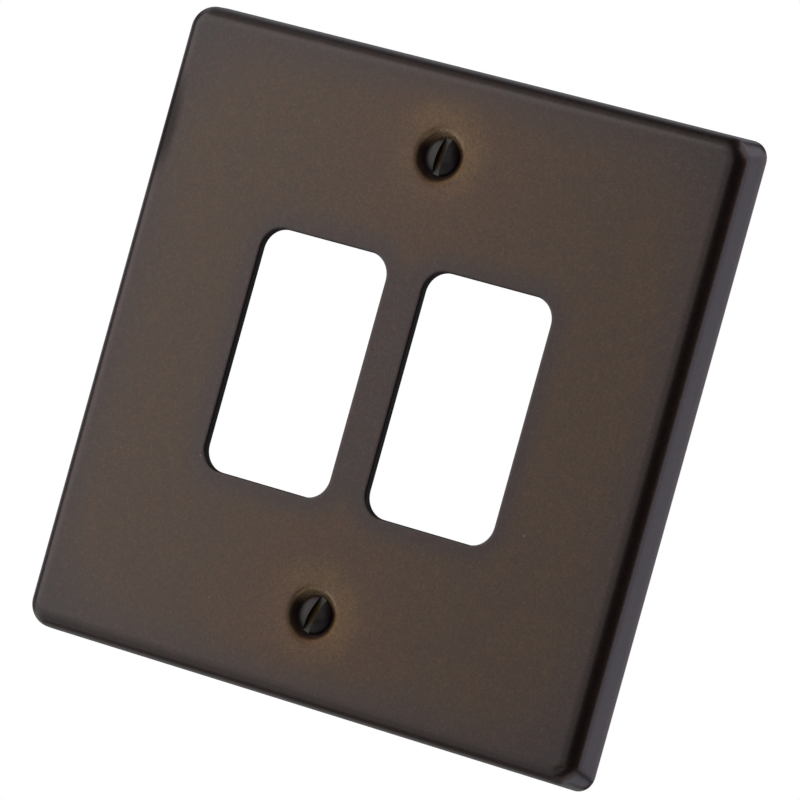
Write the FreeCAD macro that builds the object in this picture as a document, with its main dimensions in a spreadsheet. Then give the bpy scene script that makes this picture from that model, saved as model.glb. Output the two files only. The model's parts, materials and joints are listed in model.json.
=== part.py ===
"""A one-gang, two-module grid switch cover plate with its two captive fixing screws.

The part's frame, in millimetres: +Z is up the wall, +Y runs into the wall, and +X is to the
right when the plate is seen from the room. The origin lies on the wall plane, which the plate's
back rim touches, midway between the two fixing screws. The show face is at y = -plate_depth.

The plate is one pressed sheet: a drafted shell with a soft front edge, two rounded windows and
two countersunk dimples. Each dimple holds a raised countersunk slotted screw, and a push-on
retainer behind the dimple keeps the screw from falling out.
"""
import FreeCAD, Part
import math
import os
import re

import Sketcher

# Name, value and meaning of each driving dimension. Lengths are in millimetres, angles in degrees.
DIMENSIONS = (
    ("plate_side", 86.0, "side of the square plate at its back rim"),
    ("plate_depth", 6.0, "back rim to show face"),
    ("sheet", 1.2, "thickness of the pressed sheet"),
    ("wall_draft", 4.0, "lean of each side wall, widest at the rim"),
    ("outer_round", 2.45, "radius of the front edge and of the four corners"),
    ("window_width", 19.5, "width of one module window"),
    ("window_height", 33.0, "height of one module window"),
    ("window_corner", 3.1, "corner radius of a window"),
    ("window_pitch", 25.2, "centre to centre of the two windows"),
    ("window_edge_round", 0.25, "rolled front edge of a window"),
    ("screw_spacing", 61.7, "centre to centre of the two screws"),
    ("dimple_depth", 0.9, "how far the sheet is pressed in round a screw"),
    ("seat_mouth_radius", 3.5, "radius at which the seat's cone would meet the show face"),
    ("seat_shoulder_round", 1.3, "radius between the show face and the seat's cone"),
    ("boss_edge_round", 0.35, "radius on the edges of the dimple's back"),
    ("screw_hole_radius", 1.85, "clearance hole through a dimple"),
    ("head_radius", 2.55, "radius of a screw head"),
    ("head_dome", 0.85, "height of the raised top of a head"),
    ("head_land", 0.06, "height of a head's narrow rim"),
    ("head_gap", 0.03, "axial gap between a head's cone and its seat"),
    ("slot_width", 1.0, "width of the driver slot"),
    ("slot_depth", 0.88, "depth of the driver slot below the top of the head"),
    ("neck_radius", 1.55, "plain shank under the head"),
    ("thread_radius", 1.75, "outer radius of the M3.5 thread"),
    ("thread_pitch", 0.6, "pitch of the M3.5 thread"),
    ("thread_height", 0.32, "crest to root of the thread form"),
    ("thread_turns", 10, "grooves along the thread"),
    ("thread_lead_in", 0.2, "length over which the thread rises from the neck"),
    ("thread_setback", 0.4, "how far forward of the wall plane the thread starts"),
    ("screw_reach", 6.6, "how far a screw's tip goes past the wall plane"),
    ("tip_chamfer", 0.35, "chamfer at a screw's tip"),
    ("retainer_radius", 3.5, "outer radius of a retainer"),
    ("retainer_bore", 1.60, "bore radius of a retainer, a running fit on the neck"),
    ("retainer_thickness", 0.8, "thickness of a retainer"),
    ("retainer_gap", 0.02, "gap between a retainer and the start of the thread"),
    ("retainer_edge_round", 0.2, "radius on a retainer's outer edges"),
    ("notch_width", 0.5, "width of a retainer's relief notches"),
    ("notch_reach", 2.5, "how far the notches run out from the axis"),
    ("notch_count", 6, "relief notches round a retainer's bore"),
    ("upper_slot_angle", 6.7, "turn of the upper slot from upright, clockwise from the room"),
    ("lower_slot_angle", 15.2, "turn of the lower slot from upright, clockwise from the room"),
)

# Places along Y that several pieces share, as expressions in the driving dimensions.
DIMPLE_BACK = "-plate_depth + dimple_depth + sheet"
HEAD_RIM = "-plate_depth + seat_mouth_radius - head_gap - head_radius"
HEAD_LAND_TOP = f"{HEAD_RIM} - head_land"
HEAD_TOP = f"{HEAD_LAND_TOP} - head_dome"
BOSS_BASE_RADIUS = "seat_mouth_radius + sheet * sqrt(2) - sheet"
CREST_HALF_WIDTH = "thread_pitch * 7 / 16"
FIRST_GROOVE = "-thread_setback + thread_pitch"

SHEET_NAME = "Sizes"
NAMES = {name for name, _, _ in DIMENSIONS}
TOLERANCE = 1e-3
PARTS_FOLDER = "parts"


def add_sizes(doc):
    """Put the driving dimensions in a spreadsheet, one aliased cell each."""
    sheet = doc.addObject("Spreadsheet::Sheet", SHEET_NAME)
    for row, (name, value, meaning) in enumerate(DIMENSIONS, 1):
        sheet.set(f"A{row}", name)
        sheet.set(f"B{row}", str(value))
        sheet.set(f"C{row}", meaning)
        sheet.setAlias(f"B{row}", name)
    doc.recompute()


def cells(expression):
    """The expression with each driving dimension's name turned into its spreadsheet cell."""
    def cell(match):
        word = match.group()
        return f"{SHEET_NAME}.{word}" if word in NAMES else word
    return re.sub(r"[a-z_]+", cell, expression)


def value(item, expression):
    """What an expression in the driving dimensions comes to."""
    return float(item.evalExpression(cells(expression)))


def bind(item, **sizes):
    """Bind properties of a feature to expressions in the driving dimensions."""
    for name, expression in sizes.items():
        item.setExpression(name, cells(expression))


def start_body(doc, label):
    """A new body whose label names its piece."""
    body = doc.addObject("PartDesign::Body", label)
    body.Label = label
    return body


def place(body, y="0", z="0"):
    """Bind where a body's own origin sits in the part's frame."""
    body.setExpression("Placement.Base.y", cells(y))
    body.setExpression("Placement.Base.z", cells(z))


def origin_feature(body, role):
    """One of the body's own origin planes or axes."""
    return next(f for f in body.Origin.OriginFeatures if f.Role == role)


def sketch_on(body, plane, name, across="0", up="0"):
    """An empty sketch on one of the body's origin planes, moved across and up in that plane."""
    sketch = body.newObject("Sketcher::SketchObject", name)
    sketch.AttachmentSupport = [(origin_feature(body, plane), "")]
    sketch.MapMode = "FlatFace"
    sketch.setExpression("AttachmentOffset.Base.x", cells(across))
    sketch.setExpression("AttachmentOffset.Base.y", cells(up))
    body.Document.recompute()
    return sketch


def hold_point(sketch, side, end, corner):
    """Fix one end of a side by its distances from the sketch's origin, or on an axis if one is 0."""
    axes = {"DistanceX": -2, "DistanceY": -1}
    for kind, expression in zip(axes, corner):
        if expression == "0":
            sketch.addConstraint(Sketcher.Constraint("PointOnObject", side, end, axes[kind]))
            continue
        number = value(sketch, expression)
        index = sketch.addConstraint(Sketcher.Constraint(kind, -1, 1, side, end, number))
        sketch.setExpression(f"Constraints[{index}]", cells(expression))


def draw_outline(sketch, corners, dome_side=None):
    """Draw a closed outline through corners given as pairs of expressions.

    The side that starts at corner number dome_side, if there is one, is an arc centred on the
    sketch's horizontal axis, with its first end on that axis. Every other side is straight.
    """
    points = [FreeCAD.Vector(*(value(sketch, c) for c in corner), 0) for corner in corners]
    for side, (start, end) in enumerate(zip(points, points[1:] + points[:1])):
        if side != dome_side:
            sketch.addGeometry(Part.LineSegment(start, end), False)
            continue
        rise, reach = end.x - start.x, end.y
        radius = (rise ** 2 + reach ** 2) / (2 * rise)
        centre = FreeCAD.Vector(start.x + radius, 0, 0)
        circle = Part.Circle(centre, FreeCAD.Vector(0, 0, 1), radius)
        first = math.atan2(end.y, end.x - centre.x)
        sketch.addGeometry(Part.ArcOfCircle(circle, first, math.pi), False)
        sketch.addConstraint(Sketcher.Constraint("PointOnObject", side, 3, -1))
    # The arc runs the other way round, so its own ends are swapped.
    starts = [2 if side == dome_side else 1 for side in range(len(points))]
    ends = [3 - start for start in starts]
    for side in range(len(points)):
        following = (side + 1) % len(points)
        joint = Sketcher.Constraint("Coincident", side, ends[side], following, starts[following])
        sketch.addConstraint(joint)
    for side, corner in enumerate(corners):
        hold_point(sketch, side, starts[side], corner)


def draw_circle(sketch, radius):
    """Draw a circle about the sketch's origin."""
    number = value(sketch, radius)
    circle = Part.Circle(FreeCAD.Vector(), FreeCAD.Vector(0, 0, 1), number)
    index = sketch.addGeometry(circle, False)
    sketch.addConstraint(Sketcher.Constraint("Coincident", index, 3, -1, 1))
    size = sketch.addConstraint(Sketcher.Constraint("Radius", index, number))
    sketch.setExpression(f"Constraints[{size}]", cells(radius))


def revolve(body, kind, sketch, name):
    """Turn a sketch right round its own horizontal axis, to add or to cut."""
    feature = body.newObject(f"PartDesign::{kind}", name)
    feature.Profile = sketch
    feature.ReferenceAxis = (sketch, ["H_Axis"])
    feature.Angle = 360
    body.Document.recompute()
    return feature


def cut_through(body, sketch, name, reverse=False, both_ways=False):
    """Cut a sketch right through the body."""
    pocket = body.newObject("PartDesign::Pocket", name)
    pocket.Profile = sketch
    pocket.Type = "ThroughAll"
    pocket.Reversed = reverse
    pocket.Midplane = both_ways
    body.Document.recompute()
    return pocket


def repeat(body, kind, originals, name, **settings):
    """Mirror or pattern features and make the result the body's tip."""
    feature = body.newObject(f"PartDesign::{kind}", name)
    feature.Originals = originals
    for key, setting in settings.items():
        setattr(feature, key, setting)
    body.Tip = feature
    return feature


def round_edges(body, base, name, radius, wanted):
    """Round the edges of a feature for which wanted(edge) holds."""
    found = [f"Edge{i}" for i, edge in enumerate(base.Shape.Edges, 1) if wanted(edge)]
    fillet = body.newObject("PartDesign::Fillet", name)
    fillet.Base = (base, found)
    bind(fillet, Radius=radius)
    body.Document.recompute()
    return fillet


def ring_edge(radius, y):
    """A test for a full circle of this radius about an axis along Y, at this y."""
    def wanted(edge):
        if edge.Degenerated or not isinstance(edge.Curve, Part.Circle):
            return False
        return (
            abs(edge.Curve.Radius - radius) < TOLERANCE
            and abs(edge.Curve.Center.y - y) < TOLERANCE
        )
    return wanted


def flat_at(y):
    """A test for an edge that lies in the plane at this y."""
    def wanted(edge):
        box = edge.BoundBox
        return abs(box.YMin - y) < TOLERANCE and abs(box.YMax - y) < TOLERANCE
    return wanted


def drafted_block(body, kind, name, half, depth):
    """Add or cut a square block from the wall plane towards the room, leaning in all round."""
    block = body.newObject(f"PartDesign::{kind}Wedge", name)
    front_half = f"{half} - ({depth}) * tan(wall_draft * 1 deg)"
    bind(block, Ymin=f"-({depth})", Ymax="0")
    bind(block, Xmin=f"-({front_half})", Xmax=front_half, Zmin=f"-({front_half})", Zmax=front_half)
    bind(block, X2min=f"-({half})", X2max=half, Z2min=f"-({half})", Z2max=half)
    body.Document.recompute()
    return block


def press_shell(body):
    """The drafted, round-edged tray, open at the back."""
    at_rim = flat_at(0)
    block = drafted_block(body, "Additive", "pressed_block", "plate_side / 2", "plate_depth")
    round_edges(body, block, "soft_edges", "outer_round", lambda edge: not at_rim(edge))

    inner_half = "plate_side / 2 - sheet / cos(wall_draft * 1 deg)"
    hollow = drafted_block(body, "Subtractive", "hollow", inner_half, "plate_depth - sheet")
    floor = value(body, "-plate_depth + sheet")
    return round_edges(
        body, hollow, "hollow_edges", "outer_round - sheet",
        lambda edge: abs(edge.BoundBox.YMin - floor) < TOLERANCE,
    )


def press_dimples(body):
    """The two dimples, each a cone below a rolled-in edge on the face, and a bulge at the back."""
    places = {"across": "0", "up": "screw_spacing / 2"}
    back = sketch_on(body, "YZ_Plane", "dimple_back_profile", **places)
    inside = "-plate_depth + sheet / 2"
    draw_outline(back, [
        (inside, "0"),
        (inside, BOSS_BASE_RADIUS),
        ("-plate_depth + sheet", BOSS_BASE_RADIUS),
        (DIMPLE_BACK, f"{BOSS_BASE_RADIUS} - dimple_depth"),
        (DIMPLE_BACK, "0"),
    ])
    boss = revolve(body, "Revolution", back, "dimple_back")

    front = sketch_on(body, "YZ_Plane", "dimple_front_profile", **places)
    draw_outline(front, [
        ("-plate_depth - sheet", "0"),
        ("-plate_depth - sheet", "seat_mouth_radius"),
        ("-plate_depth", "seat_mouth_radius"),
        ("-plate_depth + seat_mouth_radius - screw_hole_radius", "screw_hole_radius"),
        (f"{DIMPLE_BACK} + sheet", "screw_hole_radius"),
        (f"{DIMPLE_BACK} + sheet", "0"),
    ])
    seat = revolve(body, "Groove", front, "dimple_front")
    mirror_plane = (origin_feature(body, "XY_Plane"), [""])
    pair = repeat(body, "Mirrored", [boss, seat], "second_dimple", MirrorPlane=mirror_plane)
    body.Document.recompute()

    mouth = ring_edge(value(body, "seat_mouth_radius"), value(body, "-plate_depth"))
    shoulders = round_edges(body, pair, "seat_shoulders", "seat_shoulder_round", mouth)
    foot = ring_edge(value(body, BOSS_BASE_RADIUS), value(body, "-plate_depth + sheet"))
    crown = ring_edge(value(body, f"{BOSS_BASE_RADIUS} - dimple_depth"), value(body, DIMPLE_BACK))
    return round_edges(
        body, shoulders, "dimple_back_edges", "boss_edge_round", lambda e: foot(e) or crown(e)
    )


def punch_windows(body):
    """The two rounded module windows, with a slightly rolled front edge."""
    right, left = "window_pitch / 2 + window_width / 2", "window_pitch / 2 - window_width / 2"
    low, high = "-window_height / 2", "window_height / 2"
    outline = sketch_on(body, "XZ_Plane", "window_outline")
    draw_outline(outline, [(left, low), (right, low), (right, high), (left, high)])
    window = cut_through(body, outline, "right_window", reverse=True)
    mirror_plane = (origin_feature(body, "YZ_Plane"), [""])
    pair = repeat(body, "Mirrored", [window], "left_window", MirrorPlane=mirror_plane)
    body.Document.recompute()

    reach_x, reach_z = value(body, right) + TOLERANCE, value(body, high) + TOLERANCE

    def in_window(edge):
        """Whether an edge lies within the windows' height and no further out than their sides."""
        box = edge.BoundBox
        out, up = max(abs(box.XMin), abs(box.XMax)), max(abs(box.ZMin), abs(box.ZMax))
        return out < reach_x and up < reach_z

    def corner(edge):
        """Whether an edge runs through the sheet at a window's corner."""
        return in_window(edge) and edge.BoundBox.YLength > TOLERANCE

    rounded = round_edges(body, pair, "window_corners", "window_corner", corner)
    front = flat_at(value(body, "-plate_depth"))
    return round_edges(
        body, rounded, "window_edges", "window_edge_round", lambda e: in_window(e) and front(e)
    )


def build_face_plate(doc):
    """The pressed cover plate."""
    body = start_body(doc, "face_plate")
    press_shell(body)
    press_dimples(body)
    body.Tip = punch_windows(body)
    place(body)
    return body


def build_screw(doc, label, side, slot_angle):
    """A raised countersunk slotted M3.5 screw with a plain neck, on the side +1 (up) or -1."""
    body = start_body(doc, label)
    turned = sketch_on(body, "YZ_Plane", f"{label}_turned_profile")
    draw_outline(turned, [
        (HEAD_TOP, "0"),
        (HEAD_LAND_TOP, "head_radius"),
        (HEAD_RIM, "head_radius"),
        (f"{HEAD_RIM} + head_radius - neck_radius", "neck_radius"),
        ("-thread_setback", "neck_radius"),
        ("-thread_setback + thread_lead_in", "thread_radius"),
        ("screw_reach - tip_chamfer", "thread_radius"),
        ("screw_reach", "thread_radius - tip_chamfer"),
        ("screw_reach", "0"),
    ], dome_side=0)
    revolve(body, "Revolution", turned, f"{label}_blank")

    floor = f"{HEAD_TOP} + slot_depth"
    half = "slot_width / 2"
    slot = sketch_on(body, "XY_Plane", f"{label}_slot_section")
    above = f"{HEAD_TOP} - slot_depth"
    draw_outline(slot, [(f"-{half}", above), (half, above), (half, floor), (f"-{half}", floor)])
    cut_through(body, slot, f"{label}_slot", both_ways=True)

    root_half_width = f"{CREST_HALF_WIDTH} - thread_height * tan(30 deg)"
    groove_section = sketch_on(body, "YZ_Plane", f"{label}_thread_section")
    draw_outline(groove_section, [
        (f"{FIRST_GROOVE} - {CREST_HALF_WIDTH}", "thread_radius"),
        (f"{FIRST_GROOVE} - ({root_half_width})", "thread_radius - thread_height"),
        (f"{FIRST_GROOVE} + {root_half_width}", "thread_radius - thread_height"),
        (f"{FIRST_GROOVE} + {CREST_HALF_WIDTH}", "thread_radius"),
    ])
    groove = revolve(body, "Groove", groove_section, f"{label}_thread_groove")
    along = (origin_feature(body, "Y_Axis"), [""])
    thread = repeat(body, "LinearPattern", [groove], f"{label}_thread", Direction=along)
    bind(thread, Length="thread_pitch * (thread_turns - 1)", Occurrences="thread_turns")

    body.Placement.Rotation = FreeCAD.Rotation(FreeCAD.Vector(0, 1, 0), 1)
    body.setExpression("Placement.Rotation.Angle", cells(slot_angle))
    place(body, z=f"{side} * screw_spacing / 2")
    return body


def build_retainer(doc, label, side):
    """A notched nylon washer pushed over the thread onto the screw's neck."""
    body = start_body(doc, label)
    ring = sketch_on(body, "XZ_Plane", f"{label}_ring")
    draw_circle(ring, "retainer_radius")
    draw_circle(ring, "retainer_bore")
    washer = body.newObject("PartDesign::Pad", f"{label}_washer")
    washer.Profile = ring
    bind(washer, Length="retainer_thickness")
    doc.recompute()
    outer = value(body, "retainer_radius")
    front = ring_edge(outer, value(body, "-retainer_thickness"))
    back = ring_edge(outer, 0)
    round_edges(
        body, washer, f"{label}_edges", "retainer_edge_round", lambda e: front(e) or back(e)
    )

    section = sketch_on(body, "XZ_Plane", f"{label}_notch_outline")
    half = "notch_width / 2"
    inner, reach = "retainer_bore / 2", "notch_reach"
    draw_outline(section, [(inner, f"-{half}"), (reach, f"-{half}"), (reach, half), (inner, half)])
    notch = cut_through(body, section, f"{label}_notch", reverse=True)
    axis = (origin_feature(body, "Y_Axis"), [""])
    notches = repeat(body, "PolarPattern", [notch], f"{label}_notches", Axis=axis, Angle=360)
    bind(notches, Occurrences="notch_count")
    place(body, y="-thread_setback - retainer_gap", z=f"{side} * screw_spacing / 2")
    return body


def check(doc, bodies):
    """Stop if any object failed or any piece isn't one valid solid."""
    for item in doc.Objects:
        if "Invalid" in item.State or "Error" in item.State:
            raise RuntimeError(f"{item.Name} failed: {item.State}")
    for body in bodies:
        shape = body.Shape
        if shape.isNull() or not shape.isValid() or len(shape.Solids) != 1:
            raise RuntimeError(f"{body.Label} isn't one valid solid")


def main():
    doc = FreeCAD.newDocument("grid_cover_plate")
    add_sizes(doc)
    bodies = [build_face_plate(doc)]
    for name, side in (("upper", 1), ("lower", -1)):
        bodies.append(build_screw(doc, f"{name}_screw", side, f"{name}_slot_angle"))
        bodies.append(build_retainer(doc, f"{name}_screw_retainer", side))
    doc.recompute()
    check(doc, bodies)
    os.makedirs(PARTS_FOLDER, exist_ok=True)
    for body in bodies:
        body.Shape.exportStep(f"{PARTS_FOLDER}/{body.Label}.step")
        box = body.Shape.BoundBox
        print(f"{body.Label}: {body.Shape.Volume:.2f} mm3, {box}")


main()
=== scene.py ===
"""The looks of a two-window grid switch cover plate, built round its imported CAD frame.

Lengths are in metres. +Z is up and +Y points into the wall, so the room is on the -Y side.
"""

import json
import math

import bmesh
import bpy
from mathutils import Matrix, Quaternion, Vector
from mathutils.geometry import delaunay_2d_cdt
from mathutils.kdtree import KDTree


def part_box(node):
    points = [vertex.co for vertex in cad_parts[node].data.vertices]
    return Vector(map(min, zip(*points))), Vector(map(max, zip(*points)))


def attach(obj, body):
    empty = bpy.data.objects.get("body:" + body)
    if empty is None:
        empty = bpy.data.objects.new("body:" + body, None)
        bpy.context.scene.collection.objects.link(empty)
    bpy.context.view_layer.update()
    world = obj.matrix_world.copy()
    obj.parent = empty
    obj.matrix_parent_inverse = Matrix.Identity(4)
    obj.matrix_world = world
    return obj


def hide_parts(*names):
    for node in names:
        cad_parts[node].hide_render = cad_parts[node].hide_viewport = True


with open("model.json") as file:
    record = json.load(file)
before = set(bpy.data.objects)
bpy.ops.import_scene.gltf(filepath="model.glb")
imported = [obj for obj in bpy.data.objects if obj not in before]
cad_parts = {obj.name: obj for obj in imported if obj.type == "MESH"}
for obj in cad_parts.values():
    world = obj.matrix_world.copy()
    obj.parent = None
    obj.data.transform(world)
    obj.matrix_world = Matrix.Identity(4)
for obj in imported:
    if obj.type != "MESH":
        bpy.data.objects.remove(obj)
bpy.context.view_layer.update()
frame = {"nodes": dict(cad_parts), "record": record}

MM = 0.001
QUARTER = math.pi / 2

# The pressed plate. Its side and depth, and the screws' places, are the frame's.
# The fronts of its corners are rounder by CORNER_EXTRA than the corners of its rim.
plate_low, plate_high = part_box("face_plate")
fixing = next(m for m in frame["record"]["mounts"] if m["name"] == "fixing_screws")
HALF_SIDE = plate_high.x
FACE = plate_low.y
SCREW_RISE = fixing["dims"]["spacing_y_mm"] / 2 * MM
SHEET = 1.2 * MM
DRAFT = math.radians(4)
OUTER_ROUND = 2.45 * MM
CORNER_EXTRA = 0.8 * MM
RIM_ROUND = 0.12 * MM
WINDOW_WIDTH = 19.5 * MM
WINDOW_HEIGHT = 33.0 * MM
WINDOW_CORNER = 3.1 * MM
WINDOW_PITCH = 25.2 * MM
WINDOW_ROLL = 0.25 * MM
BURR_ROUND = 0.04 * MM
SEAT_MOUTH = 3.5 * MM
SEAT_SHOULDER = 1.3 * MM
HOLE_RADIUS = 1.85 * MM
HOLE_EDGE = 0.08 * MM
DIMPLE_DEPTH = 0.9 * MM
BOSS_ROUND = 0.35 * MM

# The meshes: the grid on the flats, how far inside the flats' edges their shading is held, the
# angle that makes an edge sharp, and what counts as no distance, in a mesh and in a sum.
MESH_STEP = 2 * MM
HOLDING = 0.3 * MM
SHARP = math.radians(32)
WELD = MM / 1000
TINY = 1e-12

# The screws.
HEAD_RADIUS = 2.55 * MM
HEAD_DOME = 0.85 * MM
HEAD_LAND = 0.06 * MM
HEAD_GAP = 0.01 * MM
RIM_BEVEL = 0.19 * MM
RIM_EDGE = 0.04 * MM
SLOT_WIDTH = 1.0 * MM
SLOT_DEPTH = 0.88 * MM
SLOT_EDGE = 0.05 * MM
NECK_RADIUS = 1.55 * MM
THREAD_RADIUS = fixing["dims"]["stud_r_mm"] * MM
THREAD_PITCH = 0.6 * MM
THREAD_HEIGHT = 0.32 * MM
THREAD_START = -0.4 * MM
THREAD_LEAD = 0.2 * MM
TIP_CHAMFER = 0.35 * MM
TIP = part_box("upper_screw")[1].y
SLOT_ANGLES = {"upper": math.radians(6.7), "lower": math.radians(15.2)}


def mixed(a, b, share):
    """The value share of the way from a to b."""
    return a + (b - a) * share


def rounded(corners, steps=6):
    """A line through corners (across, along, radius), with each one between the ends rounded."""
    line = [corners[0][:2]]
    for before, (across, along, radius), after in zip(corners, corners[1:], corners[2:]):
        corner = Vector((across, along))
        back = (Vector(before[:2]) - corner).normalized()
        onward = (Vector(after[:2]) - corner).normalized()
        half_angle = back.angle(onward) / 2
        centre = corner + (back + onward).normalized() * radius / math.sin(half_angle)
        reach = radius / math.tan(half_angle)
        start = corner + back * reach - centre
        turn = start.angle_signed(corner + onward * reach - centre)
        for step in range(steps + 1):
            point = centre + Matrix.Rotation(-turn * step / steps, 2) @ start
            line.append(tuple(point))
    line.append(corners[-1][:2])
    return line


class Skin:
    """A mesh in the making: rows of points, joined by quads and filled flats."""

    def __init__(self):
        self.points = []
        self.faces = []
        self.finishes = []
        self.flats = []
        self.finish = 0

    def row(self, points):
        """Add a row of points, and return their numbers."""
        first = len(self.points)
        self.points.extend(Vector(point) for point in points)
        return list(range(first, len(self.points)))

    def face(self, corners):
        """Add a face between these numbered points, in the finish that is set."""
        self.faces.append(tuple(corners))
        self.finishes.append(self.finish)

    def strip(self, one, other, closed=True):
        """Join two equally long rows by quads."""
        count = len(one) if closed else len(one) - 1
        for i in range(count):
            following = (i + 1) % len(one)
            self.face((one[i], one[following], other[following], other[i]))

    def strips(self, rows, closed=True):
        """Join each row to the one after it."""
        for one, other in zip(rows, rows[1:]):
            self.strip(one, other, closed)

    def flat(self, loops, step):
        """Fill a plane across Y between an outer loop and the loops in it, on an even grid."""
        numbers = [number for loop in loops for number in loop]
        y = self.points[numbers[0]].y
        tree = KDTree(len(numbers))
        for number in numbers:
            tree.insert(self.points[number], number)
        tree.balance()
        coordinates = [self.points[number].xz for number in numbers]
        outlines, count = [], 0
        for loop in loops:
            outlines.append(range(count, count + len(loop)))
            count += len(loop)
        reach = max(abs(c) for point in coordinates for c in point)
        lines = [step * i for i in range(-int(reach / step), int(reach / step) + 1)]
        for x in lines:
            for z in lines:
                if tree.find((x, y, z))[2] > step / 2:
                    coordinates.append(Vector((x, z)))
        made = delaunay_2d_cdt(coordinates, [], outlines, 1, WELD)
        corners, _, faces, sources, _, holders = made
        placed = []
        for corner, source in zip(corners, sources):
            if source[0] < count:
                placed.append(numbers[source[0]])
            else:
                placed += self.row([(corner.x, y, corner.y)])
        for face, holder in zip(faces, holders):
            if holder == [0]:  # inside the outer loop, and in none of the others
                self.flats.append(len(self.faces))
                self.face(placed[i] for i in face)

    def build(self, name, finishes):
        """The finished object: welded, facing outwards, smooth except at its sharp edges."""
        mesh = bpy.data.meshes.new(name)
        work = bmesh.new()
        corners = [work.verts.new(point) for point in self.points]
        flats = []
        flat_numbers = set(self.flats)
        for number, (face, finish) in enumerate(zip(self.faces, self.finishes)):
            made = work.faces.new([corners[i] for i in face])
            made.material_index = finish
            if number in flat_numbers:
                flats.append(made)
        bmesh.ops.join_triangles(
            work, faces=flats, angle_face_threshold=0.1, angle_shape_threshold=0.8
        )
        bmesh.ops.remove_doubles(work, verts=work.verts, dist=WELD)
        bmesh.ops.dissolve_degenerate(work, edges=work.edges, dist=WELD / 2)
        loose = [vert for vert in work.verts if not vert.link_faces]
        bmesh.ops.delete(work, geom=loose, context="VERTS")
        bmesh.ops.recalc_face_normals(work, faces=work.faces)
        work.to_mesh(mesh)
        work.free()
        mesh.shade_smooth()
        mesh.set_sharp_from_angle(angle=SHARP)
        for finish in finishes:
            mesh.materials.append(finish)
        piece = bpy.data.objects.new(name, mesh)
        bpy.context.scene.collection.objects.link(piece)
        return piece


CORNERS = ((1, 1), (-1, 1), (-1, -1), (1, -1))


def places_round(half_x, half_z, corner_steps):
    """Places round a rounded rectangle whose corners' centres are half_x and half_z out.

    Each is the share of those two reaches that its centre is at, and its direction.
    """
    places = []
    for quarter, corner in enumerate(CORNERS):
        before = CORNERS[quarter - 1]
        angle = quarter * QUARTER
        length = 2 * (half_x if quarter % 2 else half_z)
        steps = max(1, round(length / MESH_STEP))
        for step in range(1, steps):
            share = step / steps
            across = mixed(before[0], corner[0], share)
            up = mixed(before[1], corner[1], share)
            places.append((across, up, angle))
        for step in range(corner_steps + 1):
            places.append((*corner, angle + QUARTER * step / corner_steps))
    return places


def wall_reach(y):
    """How far out the centre of the shell's rounding is, when it is at this y."""
    return HALF_SIDE + y * math.tan(DRAFT) - OUTER_ROUND / math.cos(DRAFT)


ROUND_CENTRE = FACE + OUTER_ROUND


def corner_extra(y_centre):
    """How much rounder the corners are than the rim's, when the rounding's centre is at this y."""
    return CORNER_EXTRA * y_centre / ROUND_CENTRE


def lean(angle):
    """How far the wall's normal leans towards the room, in a direction round the plate.

    It leans by the draft, and at a corner also because the corner's rounding changes with y.
    """
    spread = abs(math.cos(angle)) + abs(math.sin(angle))
    return math.atan(math.tan(DRAFT) * spread - CORNER_EXTRA / ROUND_CENTRE * (spread - 1))


def shell_point(place, y_centre, radius, tip, shift=0):
    """A point on the rounding, tip from the face's normal to the wall's, at a place round it."""
    across, up, angle = place
    extra = corner_extra(y_centre)
    reach = wall_reach(y_centre) - extra
    out = extra + radius * math.sin(tip) + shift
    return (
        across * reach + out * math.cos(angle),
        y_centre - radius * math.cos(tip),
        up * reach + out * math.sin(angle),
    )


def shell_rows(skin, places, radius, arc_steps, wall_steps):
    """Rows from the flat, round the shoulder and down the wall to the rim."""
    rows = []
    for step in range(arc_steps + 1):
        rows.append(skin.row(
            shell_point(p, ROUND_CENTRE, radius, (QUARTER - lean(p[2])) * step / arc_steps)
            for p in places
        ))
    for step in range(1, wall_steps + 1):
        points = []
        for place in places:
            leaning = lean(place[2])
            centre = mixed(ROUND_CENTRE, radius * math.sin(leaning) - RIM_ROUND, step / wall_steps)
            points.append(shell_point(place, centre, radius, QUARTER - leaning))
        rows.append(skin.row(points))
    return rows


def rim_rows(skin, places, radius, side, steps=4):
    """Rows round the rim's edge, on the outside for side 1 and on the inside for side -1."""
    rows = []
    for step in range(1, steps + 1):
        turn = QUARTER * step / steps
        points = []
        for place in places:
            leaning = lean(place[2])
            centre = radius * math.sin(leaning) - RIM_ROUND
            inset = -side * RIM_ROUND * (1 - math.cos(turn))
            x, y, z = shell_point(place, centre, radius, QUARTER - leaning, inset)
            points.append((x, y + RIM_ROUND * math.sin(turn), z))
        rows.append(skin.row(points))
    return rows


def holding_row(skin, places, y):
    """A row just inside the flat's edge, which keeps the flat's shading flat."""
    extra = corner_extra(ROUND_CENTRE)
    reach = wall_reach(ROUND_CENTRE) - extra
    out = extra - HOLDING
    return skin.row(
        (across * reach + out * math.cos(angle), y, up * reach + out * math.sin(angle))
        for across, up, angle in places
    )


def window_rows(skin, side):
    """Rows through one punched window, from the face's flat to the back's."""
    half_x = WINDOW_WIDTH / 2 - WINDOW_CORNER
    half_z = WINDOW_HEIGHT / 2 - WINDOW_CORNER
    middle = side * WINDOW_PITCH / 2
    back = FACE + SHEET
    profile = rounded([
        (HOLDING + WINDOW_ROLL, FACE, 0),
        (0, FACE, WINDOW_ROLL),
        (0, back, BURR_ROUND),
        (HOLDING, back, 0),
    ])
    places = places_round(half_x, half_z, corner_steps=12)
    return [
        skin.row(
            (
                middle + across * half_x + (WINDOW_CORNER + out) * math.cos(angle),
                y,
                up * half_z + (WINDOW_CORNER + out) * math.sin(angle),
            )
            for across, up, angle in places
        )
        for out, y in profile
    ]


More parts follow.
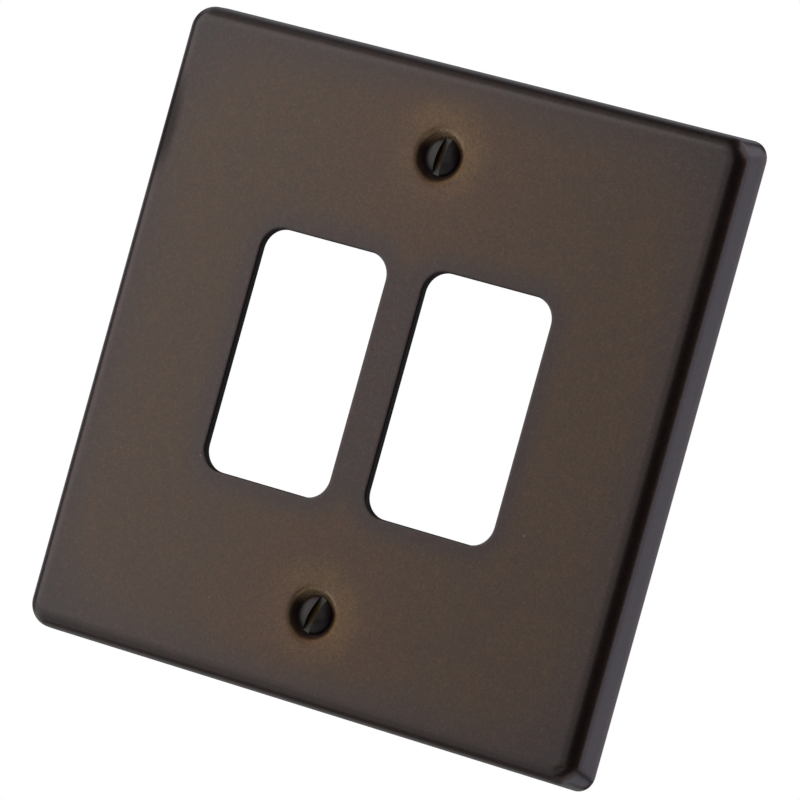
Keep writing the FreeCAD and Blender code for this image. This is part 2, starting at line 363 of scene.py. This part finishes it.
def dimple_rows(skin, side, segments=72):
    """Rows through one dimple, from the face's flat, over its rolled edge, to the back's flat."""
    back = FACE + SHEET
    crown = back + DIMPLE_DEPTH
    foot = SEAT_MOUTH + SHEET * (math.sqrt(2) - 1)
    hole_edge = FACE + SEAT_MOUTH - HOLE_RADIUS
    profile = rounded([
        (SEAT_MOUTH + SEAT_SHOULDER, FACE, 0),
        (SEAT_MOUTH, FACE, SEAT_SHOULDER),
        (HOLE_RADIUS, hole_edge, HOLE_EDGE),
        (HOLE_RADIUS, crown, HOLE_EDGE),
        (foot - DIMPLE_DEPTH, crown, BOSS_ROUND),
        (foot, back, BOSS_ROUND),
        (foot + 2 * BOSS_ROUND, back, 0),
    ], steps=8)
    turns = [2 * math.pi * i / segments for i in range(segments)]
    return [
        skin.row((r * math.cos(t), y, side * SCREW_RISE + r * math.sin(t)) for t in turns)
        for r, y in profile
    ]


# The plate's finishes: its show face's, its back's and its windows' edges'.
FRONT, BACK, PUNCHED = 0, 1, 2


def make_plate(finishes):
    """The pressed plate: one closed skin, with finishes for its face, back and punched edges."""
    skin = Skin()
    skin.finish = FRONT
    reach = wall_reach(ROUND_CENTRE)
    places = places_round(reach, reach, corner_steps=12)
    outside = shell_rows(skin, places, OUTER_ROUND, arc_steps=18, wall_steps=3)
    inside = shell_rows(skin, places, OUTER_ROUND - SHEET, arc_steps=8, wall_steps=3)
    outer_rim = rim_rows(skin, places, OUTER_ROUND, 1)
    inner_rim = rim_rows(skin, places, OUTER_ROUND - SHEET, -1)
    front_hold = holding_row(skin, places, FACE)
    back_hold = holding_row(skin, places, FACE + SHEET)
    skin.strips([front_hold, *outside, *outer_rim, inner_rim[-1]])

    windows = [window_rows(skin, side) for side in (-1, 1)]
    dimples = [dimple_rows(skin, side) for side in (-1, 1)]
    holes = windows + dimples
    black_rows = 3
    black_from = len(windows[0]) // 2 - black_rows
    for rows in windows:
        skin.strips(rows[:black_from + 1])
    for rows in dimples:
        skin.strips(rows[:len(rows) // 2 + 1])
    skin.flat([front_hold, *(rows[0] for rows in holes)], MESH_STEP)

    skin.finish = PUNCHED
    for rows in windows:
        skin.strips(rows[black_from:len(rows) // 2 + 1])

    skin.finish = BACK
    skin.strips([*reversed(inner_rim), *reversed(inside), back_hold])
    for rows in holes:
        skin.strips(rows[len(rows) // 2:])
    skin.flat([back_hold, *(rows[-1] for rows in holes)], MESH_STEP)
    return skin.build("pressed_plate", finishes)


# A screw's finishes: its own, and its slot's floor's.
BLACKENED, SAWN = 0, 1


def dome_y(radius):
    """The depth of the head's domed top at this distance from the screw's axis."""
    ball = (HEAD_RADIUS ** 2 + HEAD_DOME ** 2) / (2 * HEAD_DOME)
    return FACE + HEAD_GAP + ball - math.sqrt(ball ** 2 - radius ** 2)


def radius_along(outline, y):
    """The radius of an outline of (radius, y) points at this y."""
    for (r_before, y_before), (r_after, y_after) in zip(outline, outline[1:]):
        if y_before <= y <= y_after:
            return mixed(r_before, r_after, (y - y_before) / max(y_after - y_before, TINY))
    return outline[-1][0]


def head_outline():
    """The head's outline, from the edge of its domed top over the rim to the foot of its cone."""
    dome_edge = HEAD_RADIUS - RIM_BEVEL
    inside_edge = dome_edge - RIM_EDGE
    rim = dome_y(HEAD_RADIUS) + HEAD_LAND
    return rounded([
        (inside_edge, dome_y(inside_edge), 0),
        (dome_edge, dome_y(dome_edge), 2 * RIM_EDGE),
        (HEAD_RADIUS, rim, RIM_EDGE),
        (NECK_RADIUS, rim + HEAD_RADIUS - NECK_RADIUS, 2 * RIM_EDGE),
        (NECK_RADIUS, THREAD_START, 0),
    ])


def slot_rows(outline):
    """Rows (y, half slot width, share of the dome's rise) from the slot's edge to its floor.

    They come closest together by the edge.
    """
    top = outline[0][1]
    floor = FACE + HEAD_GAP + SLOT_DEPTH
    edge_steps, wall_steps, crowding = 4, 6, 1.5
    rows = []
    for step in range(edge_steps + 1):
        turn = QUARTER * step / edge_steps
        half = SLOT_WIDTH / 2 + SLOT_EDGE * (1 - math.sin(turn))
        rows.append((top + SLOT_EDGE * (1 - math.cos(turn)), half, 1))
    for step in range(1, wall_steps + 1):
        share = step / wall_steps
        y = mixed(top + SLOT_EDGE, floor, share ** crowding)
        rows.append((y, SLOT_WIDTH / 2, 1 - share))
    return rows


def half_head(skin, side, outline, arc_steps, cap_steps=8):
    """One side of the slotted head: its dome, its slot wall and its rim.

    Returns the numbers of its last rows, round the rim and along the foot of the slot wall.
    """
    rows = slot_rows(outline)
    shares = []
    half = rows[-1][1]
    end_angle = math.acos(half / radius_along(outline, rows[-1][0]))
    for step in range(arc_steps + 1):
        shares.append(math.sin(mixed(-end_angle, end_angle, step / arc_steps))
                      / math.sin(end_angle))

    arcs, chords = [], []
    for y, half, rise in rows:
        radius = radius_along(outline, y)
        end = math.sqrt(radius ** 2 - half ** 2)
        last = math.acos(half / radius)
        arc, chord = [], []
        for step, share in enumerate(shares):
            angle = mixed(-last, last, step / arc_steps)
            arc.append((side * radius * math.cos(angle), y, radius * math.sin(angle)))
            z = share * end
            lift = dome_y(math.hypot(half, z)) - dome_y(math.hypot(half, end))
            chord.append((side * half, y + lift * rise, z))
        arcs.append(skin.row(arc))
        chords.append(skin.row(chord))

    first_arc = [skin.points[i] for i in arcs[0]]
    first_chord = [skin.points[i] for i in chords[0]]
    cap = [chords[0]]
    for step in range(1, cap_steps):
        share = step / cap_steps
        points = []
        for inner, outer in zip(first_chord, first_arc):
            x, z = mixed(inner.x, outer.x, share), mixed(inner.z, outer.z, share)
            points.append((x, dome_y(math.hypot(x, z)), z))
        cap.append(skin.row(points))
    cap.append(arcs[0])
    skin.strips(cap, closed=False)
    skin.strips(arcs, closed=False)
    skin.strips(chords, closed=False)
    return arcs[-1], chords[-1]


def slot_floor(skin, right_foot, left_foot, radius, floor_steps):
    """The slot's floor between the feet of its walls. Returns the rows across its two ends."""
    rows = [right_foot]
    for step in range(1, floor_steps):
        points = []
        for right in right_foot:
            foot = skin.points[right]
            end = skin.points[right_foot[-1]]
            x = mixed(end.x, -end.x, step / floor_steps)
            points.append((x, foot.y, foot.z / end.z * math.sqrt(radius ** 2 - x ** 2)))
        rows.append(skin.row(points))
    rows.append(left_foot)
    skin.finish = SAWN
    skin.strips(rows, closed=False)
    skin.finish = BLACKENED
    return [row[-1] for row in rows], [row[0] for row in rows]


def thread_form(turns):
    """The height of the thread's form, from 0 in its root to 1 on its crest, after some turns."""
    steepness, root_flat = 1.25, 0.1
    from_crest = abs(2 * (turns % 1) - 1)
    return min(1, max(0, steepness * (1 - from_crest) - root_flat))


def threaded_shank(skin, angles, rows_per_turn=8):
    """The helical thread, on a grid that runs along its helix, and the screw's flat tip."""
    major = [
        (NECK_RADIUS, THREAD_START),
        (THREAD_RADIUS, THREAD_START + THREAD_LEAD),
        (THREAD_RADIUS, TIP - TIP_CHAMFER),
        (THREAD_RADIUS - TIP_CHAMFER, TIP),
    ]
    fade_end = THREAD_START + THREAD_LEAD + THREAD_PITCH
    count = rows_per_turn * (math.ceil((TIP - THREAD_START) / THREAD_PITCH) + 2)
    rows = []
    for number in range(count):
        points = []
        for angle in angles:
            turns = number / rows_per_turn + (angle - angles[0]) / (2 * math.pi)
            y = min(max(THREAD_START + (turns - 1) * THREAD_PITCH, THREAD_START), TIP)
            fade = min(1, max(0, (y - THREAD_START) / (fade_end - THREAD_START)))
            groove = THREAD_HEIGHT * (1 - thread_form(turns)) * fade
            radius = min(radius_along(major, y), THREAD_RADIUS - groove)
            points.append((radius * math.cos(angle), y, radius * math.sin(angle)))
        rows.append(skin.row(points))
    skin.strips(rows, closed=False)
    for lower, upper in zip(range(count - rows_per_turn - 1), range(rows_per_turn, count)):
        skin.face((rows[lower][-1], rows[upper][0], rows[upper + 1][0], rows[lower + 1][-1]))
    tip_radius = radius_along(major, TIP)
    ends = [(tip_radius * math.cos(a), TIP, tip_radius * math.sin(a)) for a in angles]
    skin.face(skin.row(ends))


def make_screw(name, side, finishes):
    """A slotted raised countersunk screw, on the side 1 (up) or -1."""
    skin = Skin()
    skin.finish = BLACKENED
    arc_steps, floor_steps = 20, 4
    outline = head_outline()
    right_rim, right_foot = half_head(skin, 1, outline, arc_steps)
    left_rim, left_foot = half_head(skin, -1, outline, arc_steps)
    floor = skin.points[right_foot[0]].y
    radius = radius_along(outline, floor)
    top_end, low_end = slot_floor(skin, right_foot, left_foot, radius, floor_steps)
    ring = right_rim + top_end[1:-1] + left_rim[::-1] + low_end[-2:0:-1]

    angles = [math.atan2(skin.points[i].z, skin.points[i].x) for i in ring]
    first = angles[0]
    angles = [(angle - first) % (2 * math.pi) + first for angle in angles]
    rows = [ring]
    clearance = RIM_EDGE / 4
    for r, y in outline:
        if y > floor + clearance:
            rows.append(skin.row((r * math.cos(a), y, r * math.sin(a)) for a in angles))
    skin.strips(rows)
    threaded_shank(skin, angles)

    place = Matrix.Translation((0, 0, side * SCREW_RISE))
    place @= Matrix.Rotation(SLOT_ANGLES[name], 4, "Y")
    skin.points = [place @ point for point in skin.points]
    return skin.build(f"{name}_slotted_screw", finishes)


class Finish:
    """A material in the making, with short calls that add nodes to it. Its lengths are in mm."""

    def __init__(self, name):
        self.material = bpy.data.materials.new(name)
        self.material.use_nodes = True
        self.tree = self.material.node_tree
        self.surface = self.tree.nodes["Principled BSDF"]
        coordinates = self.tree.nodes.new("ShaderNodeTexCoord").outputs["Object"]
        scaled = self.add("ShaderNodeVectorMath", [coordinates], operation="SCALE")
        scaled.inputs["Scale"].default_value = 1 / MM
        self.place = scaled.outputs[0]
        split = self.add("ShaderNodeSeparateXYZ", [self.place])
        self.x, self.y, self.z = split.outputs

    def feed(self, socket, value):
        """Link a socket to another node's output, or set it to a plain value."""
        if isinstance(value, bpy.types.NodeSocket):
            self.tree.links.new(value, socket)
        else:
            socket.default_value = value

    def add(self, kind, values=(), named=None, **settings):
        """Add a node with these settings, and feed its sockets in order or by name."""
        node = self.tree.nodes.new(kind)
        for key, setting in settings.items():
            setattr(node, key, setting)
        for socket, value in zip(node.inputs, values):
            self.feed(socket, value)
        for key, value in (named or {}).items():
            self.feed(node.inputs[key], value)
        return node

    def math(self, operation, *values):
        """The result of one sum on these values."""
        return self.add("ShaderNodeMath", values, operation=operation).outputs[0]

    def product(self, first, *others):
        """All these values multiplied together."""
        for other in others:
            first = self.math("MULTIPLY", first, other)
        return first

    def length(self, *parts):
        """The length of a vector of these parts."""
        vector = self.add("ShaderNodeCombineXYZ", parts).outputs[0]
        return self.add("ShaderNodeVectorMath", [vector], operation="LENGTH").outputs["Value"]

    def fade(self, value, start, end, low=0.0, high=1.0):
        """A soft step from low, where the value is at start, to high, where it is at end."""
        values = [value, start, end, low, high]
        node = self.add("ShaderNodeMapRange", values, interpolation_type="SMOOTHSTEP")
        return node.outputs[0]

    def noise(self, size, detail=2.0, roughness=0.5, stretch=None):
        """Noise from 0 to 1 with features of about this size."""
        place = self.place
        if stretch:
            place = self.add("ShaderNodeVectorMath", [place, stretch], operation="MULTIPLY")
            place = place.outputs[0]
        named = {"Vector": place, "Scale": 1 / size, "Detail": detail, "Roughness": roughness}
        return self.add("ShaderNodeTexNoise", named=named).outputs["Fac"]

    def blend(self, share, one, other):
        """One colour turned towards another by a share."""
        node = self.add("ShaderNodeMix", data_type="RGBA")
        factor, first, second = (node.inputs[i] for i in (0, 6, 7))
        self.feed(factor, share)
        self.feed(first, one)
        self.feed(second, other)
        return node.outputs[2]

    def bump(self, height, strength, distance):
        """Let a height in mm tilt the shading."""
        named = {"Height": height, "Strength": strength, "Distance": distance * MM}
        node = self.add("ShaderNodeBump", named=named)
        self.feed(self.surface.inputs["Normal"], node.outputs[0])

    def set(self, **values):
        """Set the surface's sockets, named with underscores for spaces."""
        for key, value in values.items():
            self.feed(self.surface.inputs[key.replace("_", " ")], value)
        return self.material


def colour(red, green, blue):
    """A colour from its linear parts, which are 1 in white."""
    return (red, green, blue, 1.0)


def edge_distance(finish):
    """The distance in mm from the plate's edge, inwards across its face."""
    side = finish.math("MAXIMUM", finish.math("ABSOLUTE", finish.x),
                       finish.math("ABSOLUTE", finish.z))
    return finish.math("SUBTRACT", (HALF_SIDE - OUTER_ROUND / 4) / MM, side)


def corner_distance(finish):
    """The distance in mm from the nearest corner of the plate's square."""
    in_x = finish.math("SUBTRACT", HALF_SIDE / MM, finish.math("ABSOLUTE", finish.x))
    in_z = finish.math("SUBTRACT", HALF_SIDE / MM, finish.math("ABSOLUTE", finish.z))
    return finish.length(in_x, 0.0, in_z)


def window_distance(finish):
    """The distance in mm from the nearer window's edge."""
    half_x = (WINDOW_WIDTH / 2 - WINDOW_CORNER) / MM
    half_z = (WINDOW_HEIGHT / 2 - WINDOW_CORNER) / MM
    from_middle = finish.math("SUBTRACT", finish.math("ABSOLUTE", finish.x), WINDOW_PITCH / 2 / MM)
    beyond_x = finish.math("SUBTRACT", finish.math("ABSOLUTE", from_middle), half_x)
    beyond_z = finish.math("SUBTRACT", finish.math("ABSOLUTE", finish.z), half_z)
    out_x = finish.math("MAXIMUM", beyond_x, 0.0)
    out_z = finish.math("MAXIMUM", beyond_z, 0.0)
    return finish.math("SUBTRACT", finish.length(out_x, 0.0, out_z), WINDOW_CORNER / MM)


def screw_distance(finish):
    """The distance in mm from the nearer screw's axis."""
    rise = finish.math("SUBTRACT", finish.math("ABSOLUTE", finish.z), SCREW_RISE / MM)
    return finish.length(finish.x, 0.0, rise)


def height_over_screw(finish):
    """The height in mm above the nearer screw's axis."""
    rise = finish.math("SUBTRACT", finish.math("ABSOLUTE", finish.z), SCREW_RISE / MM)
    return finish.math("MULTIPLY", rise, finish.math("SIGN", finish.z))


# The bronzed plate's colours, among them a painted highlight on the dimples' upper walls.
BRONZING = {
    "patina": colour(0.048, 0.037, 0.040),
    "corner_patina": colour(0.033, 0.031, 0.037),
    "rubbed": colour(0.088, 0.053, 0.028),
    "rubbed_by_screw": colour(0.126, 0.056, 0.020),
    "halo": colour(0.195, 0.106, 0.032),
    # A painted highlight: pale brass on each dimple's upper wall, so that it looks lit from below.
    "painted_lip_highlight": colour(0.42, 0.28, 0.14),
    "shoulder": colour(0.052, 0.028, 0.017),
    "wall": colour(0.049, 0.045, 0.058),
    "red_tint": colour(0.14, 0.060, 0.04),
    "grey_tint": colour(0.06, 0.054, 0.046),
    "pale_speck": colour(0.20, 0.135, 0.10),
    "red_speck": colour(0.06, 0.016, 0.004),
    "dark_grain": colour(0.055, 0.022, 0.012),
    "smudge": colour(0.022, 0.018, 0.018),
    "bare_rim": colour(0.45, 0.2, 0.06),
    "dust": colour(0.36, 0.33, 0.30),
}


def rubbed_share(finish, by_dimple, mottle):
    """How far the patina is rubbed away: least by the edges, the corners and the openings."""
    by_edge = finish.fade(edge_distance(finish), 0.0, 8.0)
    by_window = finish.fade(window_distance(finish), 0.1, 4.2)
    by_corner = finish.fade(corner_distance(finish), 4.0, 18.0)
    across, up = finish.math("ABSOLUTE", finish.x), finish.math("ABSOLUTE", finish.z)
    mullion = finish.product(finish.fade(across, 4.5, 2.5), finish.fade(up, 18.0, 13.0))
    by_mullion = finish.fade(mullion, 0.0, 1.0, 1.0, 0.25)
    uneven = finish.fade(mottle, 0.2, 0.8, 0.8, 1.2)
    cloudy = finish.fade(finish.noise(22.0, detail=2.0), 0.3, 0.7, 0.9, 1.1)
    return finish.product(by_edge, by_window, by_corner, by_mullion, by_dimple, uneven, cloudy)


def halo_share(finish, from_screw, over_screw, by_dimple, mottle):
    """How brassy the face is round each dimple: most above it and on its right."""
    near = finish.fade(from_screw, 9.0, 3.8)
    beside = finish.math("ADD", over_screw, finish.math("MULTIPLY", finish.x, 0.6))
    lopsided = finish.fade(beside, -6.0, 6.0, 0.3, 1.0)
    uneven = finish.fade(mottle, 0.25, 0.75, 0.5, 1.3)
    return finish.product(near, by_dimple, lopsided, uneven)


def worn_share(finish, from_screw, over_screw):
    """How far the lacquer is worn off round each dimple: most under it and on its right."""
    beneath = finish.math("SUBTRACT", finish.x, over_screw)
    return finish.product(finish.fade(from_screw, 4.6, 3.4),
                          finish.fade(beneath, -1.0, 3.0, 0.0, 0.7))


def smudge_share(finish):
    """A tall dark smudge on the left edge."""
    from_edge, rise, squeeze = 1.8, 26.0, 0.2
    out = finish.math("ADD", finish.x, HALF_SIDE / MM - from_edge)
    up = finish.math("MULTIPLY", finish.math("SUBTRACT", finish.z, rise), squeeze)
    return finish.fade(finish.length(out, 0.0, up), 2.0, 0.5, 0.0, 0.7)


def dust_share(finish):
    """A few pale specks of dust, at most one in each cell of this pitch."""
    pitch, outside, inside = 7.0, 0.13, 0.05
    cells = finish.add("ShaderNodeTexVoronoi",
                       named={"Vector": finish.place, "Scale": 1 / pitch})
    chosen = finish.add("ShaderNodeSeparateColor", [cells.outputs["Color"]]).outputs[0]
    near = finish.fade(cells.outputs["Distance"], outside / pitch, inside / pitch)
    return finish.product(near, finish.fade(chosen, 0.45, 0.6, 0.0, 0.8))


def speckled(finish, tone, speckle):
    """The tone with red and grey tints in it, pale and red specks, and a dark grain."""
    tint = finish.noise(1.5, detail=4.0, roughness=0.7)
    grain = finish.noise(0.16, detail=1.0, roughness=0.7)
    layers = (
        (tint, 0.5, 0.7, 0.0, 0.4, "red_tint"),
        (tint, 0.5, 0.3, 0.0, 0.4, "grey_tint"),
        (speckle, 0.5, 0.72, 0.0, 0.2, "pale_speck"),
        (speckle, 0.5, 0.28, 0.0, 0.3, "red_speck"),
        (grain, 0.3, 0.7, 0.7, 0.0, "dark_grain"),
    )
    for noise, start, end, low, high, name in layers:
        tone = finish.blend(finish.fade(noise, start, end, low, high), tone, BRONZING[name])
    return tone


def bronzed_plate():
    """Satin bronzed brass under lacquer, rubbed warm in the open and greyer along its edges."""
    finish = Finish("bronzed_plate")
    face = FACE / MM
    from_screw = screw_distance(finish)
    over_screw = height_over_screw(finish)
    by_dimple = finish.fade(from_screw, 2.7, 3.6)
    mottle = finish.noise(4.0, detail=3.0)
    speckle = finish.noise(0.42, detail=3.0, roughness=0.7)

    patina = finish.blend(finish.fade(corner_distance(finish), 12.0, 3.0),
                          BRONZING["patina"], BRONZING["corner_patina"])
    rubbed = rubbed_share(finish, by_dimple, mottle)
    tone = finish.blend(rubbed, patina, BRONZING["rubbed"])
    skirt = finish.product(finish.fade(from_screw, 20.0, 5.0, 0.0, 0.6), rubbed)
    tone = finish.blend(skirt, tone, BRONZING["rubbed_by_screw"])
    halo = halo_share(finish, from_screw, over_screw, by_dimple, mottle)
    tone = finish.blend(halo, tone, BRONZING["halo"])
    # A painted highlight: the wall of each dimple above the screw turns pale brass, so that it
    # looks lit from below.
    painted_highlight_share = finish.product(finish.fade(from_screw, 3.9, 3.3), finish.fade(over_screw, 0.6, 2.2))
    tone = finish.blend(painted_highlight_share, tone, BRONZING["painted_lip_highlight"])

    shoulder = finish.product(finish.fade(finish.y, face + 0.3, face + 1.3),
                              finish.fade(edge_distance(finish), 4.0, 2.0))
    tone = finish.blend(shoulder, tone, BRONZING["shoulder"])
    wall = finish.fade(finish.y, face + 1.4, face + 1.8)
    tone = finish.blend(wall, tone, BRONZING["wall"])

    tone = speckled(finish, tone, speckle)
    smudge = smudge_share(finish)
    tone = finish.blend(smudge, tone, BRONZING["smudge"])
    tone = finish.blend(finish.fade(finish.y, -0.30, -0.08), tone, BRONZING["bare_rim"])
    tone = finish.blend(dust_share(finish), tone, BRONZING["dust"])
    finish.bump(speckle, strength=0.35, distance=0.01)
    worn = finish.math("MAXIMUM", worn_share(finish, from_screw, over_screw), smudge)
    return finish.set(
        Base_Color=tone, Metallic=1.0, Roughness=0.5,
        Coat_Weight=finish.math("SUBTRACT", 1.0, worn),
        Coat_Roughness=0.27, Coat_IOR=1.5,
    )


def plate_back():
    """The plate's unseen side: dull brass with a thin uneven overspray of the bronzing."""
    finish = Finish("plate_back")
    sprayed = finish.fade(finish.noise(9.0, detail=4.0), 0.35, 0.65)
    grain = finish.noise(0.6, detail=3.0, roughness=0.6)
    tone = finish.blend(sprayed, colour(0.30, 0.19, 0.085), colour(0.13, 0.085, 0.05))
    tone = finish.blend(finish.fade(grain, 0.3, 0.7, 0.0, 0.35), tone, colour(0.08, 0.055, 0.04))
    finish.bump(grain, strength=0.3, distance=0.02)
    return finish.set(Base_Color=tone, Metallic=1.0, Roughness=0.55)


def punched_edge():
    """The windows' punched edges, black and without lacquer."""
    finish = Finish("punched_edge")
    streak = finish.noise(0.4, detail=3.0, stretch=(1, 0.15, 1))
    tone = finish.blend(streak, colour(0.006, 0.005, 0.006), colour(0.018, 0.014, 0.012))
    finish.bump(streak, strength=0.3, distance=0.01)
    return finish.set(Base_Color=tone, Metallic=0.6, Roughness=0.6, Specular_IOR_Level=0.2)


def bronzed_screw():
    """Blackened brass under lacquer."""
    finish = Finish("bronzed_screw")
    grain = finish.noise(0.3, detail=3.0, roughness=0.6)
    tone = finish.blend(grain, colour(0.010, 0.006, 0.008), colour(0.024, 0.014, 0.013))
    finish.bump(grain, strength=0.2, distance=0.01)
    return finish.set(
        Base_Color=tone, Metallic=1.0, Roughness=0.45,
        Coat_Weight=0.75, Coat_Roughness=0.32, Coat_IOR=1.5,
    )


def screw_slot():
    """The sawn slot: brown brass in its depth, grey where it runs out at the rim."""
    finish = Finish("screw_slot")
    grain = finish.noise(0.25, detail=3.0, roughness=0.6)
    brown = finish.blend(grain, colour(0.12, 0.072, 0.035), colour(0.19, 0.12, 0.055))
    grey = finish.blend(grain, colour(0.088, 0.081, 0.075), colour(0.125, 0.115, 0.106))
    tone = finish.blend(finish.fade(screw_distance(finish), 0.9, 2.0), brown, grey)
    finish.bump(grain, strength=0.3, distance=0.01)
    return finish.set(Base_Color=tone, Metallic=1.0, Roughness=0.6)


def natural_nylon():
    """Milky moulded nylon."""
    finish = Finish("natural_nylon")
    grain = finish.noise(0.5, detail=3.0)
    cloud = finish.noise(3.0)
    tone = finish.blend(cloud, colour(0.74, 0.71, 0.62), colour(0.86, 0.84, 0.78))
    finish.bump(grain, strength=0.2, distance=0.02)
    return finish.set(
        Base_Color=tone, Roughness=0.42, Subsurface_Weight=0.3, Subsurface_Scale=0.6 * MM,
    )


def direction(azimuth, elevation):
    """Which way something lies from the object. Azimuth 0 is the room side and 90 is +X."""
    a, e = math.radians(azimuth), math.radians(elevation)
    return Vector((math.sin(a) * math.cos(e), -math.cos(a) * math.cos(e), math.sin(e)))


def add_camera():
    """The camera at the photograph's viewing angle, rolled as its picture is."""
    azimuth, elevation, roll = 29.20, 0.385, 15.53
    distance = 861.1 * MM
    aim = Vector((2.405, -3.0, -1.02)) * MM
    focal_length, sensor_width = 298.3, 36
    lens = bpy.data.cameras.new("camera")
    lens.lens = focal_length
    lens.sensor_width = sensor_width
    lens.clip_start = 0.01
    lens.clip_end = 50
    camera = bpy.data.objects.new("camera", lens)
    bpy.context.scene.collection.objects.link(camera)
    away = direction(azimuth, elevation)
    camera.location = aim + away * distance
    camera.rotation_mode = "QUATERNION"
    facing = (-away).to_track_quat("-Z", "Y")
    camera.rotation_quaternion = facing @ Quaternion((0, 0, 1), math.radians(roll))
    bpy.context.scene.camera = camera


WHITE = (1, 1, 1)
COOL = (0.97, 0.97, 1.1)

# Each softbox's azimuth, elevation, width and height in degrees, its radiance and its colour.
SOFTBOXES = {
    "key": (-51.5, 14, 47, 58, 1.27, WHITE),
    "key_spill": (-10, 12, 36, 54, 0.45, WHITE),
    "front_spill": (14, 0, 13, 34, 0.5, WHITE),
    "low_key": (-55, -27, 60, 24, 0.75, WHITE),
    "left_back": (-138, 0, 76, 30, 0.3, COOL),
    "left_back_high": (-132, 42, 60, 34, 0.33, COOL),
    "right_edge": (112, 5, 16, 46, 0.9, COOL),
    "right_back": (147, 5, 52, 46, 0.5, COOL),
    "top": (-50, 53, 80, 22, 0.28, WHITE),
    "corner_top": (120, 52, 62, 44, 0.85, COOL),
    "low": (-45, -51, 130, 24, 0.42, WHITE),
    "low_back": (-140, -42, 60, 34, 0.28, WHITE),
    "corner_low": (120, -52, 62, 44, 0.6, COOL),
    "below": (0, -90, 40, 40, 0.25, WHITE),
}
SOFTBOX_DISTANCE = 0.6


def add_softbox(name, azimuth, elevation, degrees_wide, degrees_high, radiance, tint):
    """A soft studio light, as large as it looks from the object, which it faces."""
    width = 2 * SOFTBOX_DISTANCE * math.tan(math.radians(degrees_wide / 2))
    height = 2 * SOFTBOX_DISTANCE * math.tan(math.radians(degrees_high / 2))
    light = bpy.data.lights.new(name, "AREA")
    light.shape = "RECTANGLE"
    light.size = width
    light.size_y = height
    light.energy = radiance * math.pi * width * height
    light.color = tint
    lamp = bpy.data.objects.new(name, light)
    bpy.context.scene.collection.objects.link(lamp)
    away = direction(azimuth, elevation)
    lamp.location = away * SOFTBOX_DISTANCE
    lamp.rotation_mode = "QUATERNION"
    lamp.rotation_quaternion = (-away).to_track_quat("-Z", "Y")
    lamp.visible_camera = False


def add_surround():
    """A surround that is white to the camera and lights the object only dimly."""
    white, dim = 1.0, 0.02
    world = bpy.data.worlds.new("studio")
    bpy.context.scene.world = world
    world.use_nodes = True
    nodes, links = world.node_tree.nodes, world.node_tree.links
    lighting = nodes["Background"]
    lighting.inputs["Color"].default_value = colour(*WHITE)
    lighting.inputs["Strength"].default_value = dim
    backdrop = nodes.new("ShaderNodeBackground")
    backdrop.inputs["Color"].default_value = colour(*WHITE)
    backdrop.inputs["Strength"].default_value = white
    seen = nodes.new("ShaderNodeLightPath")
    either = nodes.new("ShaderNodeMixShader")
    links.new(seen.outputs["Is Camera Ray"], either.inputs[0])
    links.new(lighting.outputs[0], either.inputs[1])
    links.new(backdrop.outputs[0], either.inputs[2])
    links.new(either.outputs[0], nodes["World Output"].inputs["Surface"])
    bpy.context.scene.view_settings.view_transform = "Standard"


def add_floor():
    """A pale round floor well below, which the plate's gloss doesn't mirror."""
    drop, radius, segments = 1.4, 4.5, 96
    skin = Skin()
    turns = [2 * math.pi * i / segments for i in range(segments)]
    skin.face(skin.row((radius * math.cos(t), radius * math.sin(t), -drop) for t in turns))
    paper = Finish("pale_paper")
    tone = paper.blend(paper.noise(40.0), colour(0.86, 0.86, 0.85), colour(0.9, 0.9, 0.89))
    paper.set(Base_Color=tone, Roughness=0.9, Emission_Color=tone, Emission_Strength=0.6)
    floor = skin.build("floor", [paper.material])
    floor.visible_glossy = False


add_camera()
add_surround()
for name, softbox in SOFTBOXES.items():
    add_softbox(name, *softbox)
add_floor()

plate = make_plate([bronzed_plate(), plate_back(), punched_edge()])
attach(plate, "plate")
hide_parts("face_plate")

screw_finishes = [bronzed_screw(), screw_slot()]
nylon = natural_nylon()
for name, side in (("upper", 1), ("lower", -1)):
    screw = make_screw(name, side, screw_finishes)
    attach(screw, f"{name}_screw")
    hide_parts(f"{name}_screw")

    retainer = frame["nodes"][f"{name}_screw_retainer"]
    retainer.data.materials.clear()
    retainer.data.materials.append(nylon)
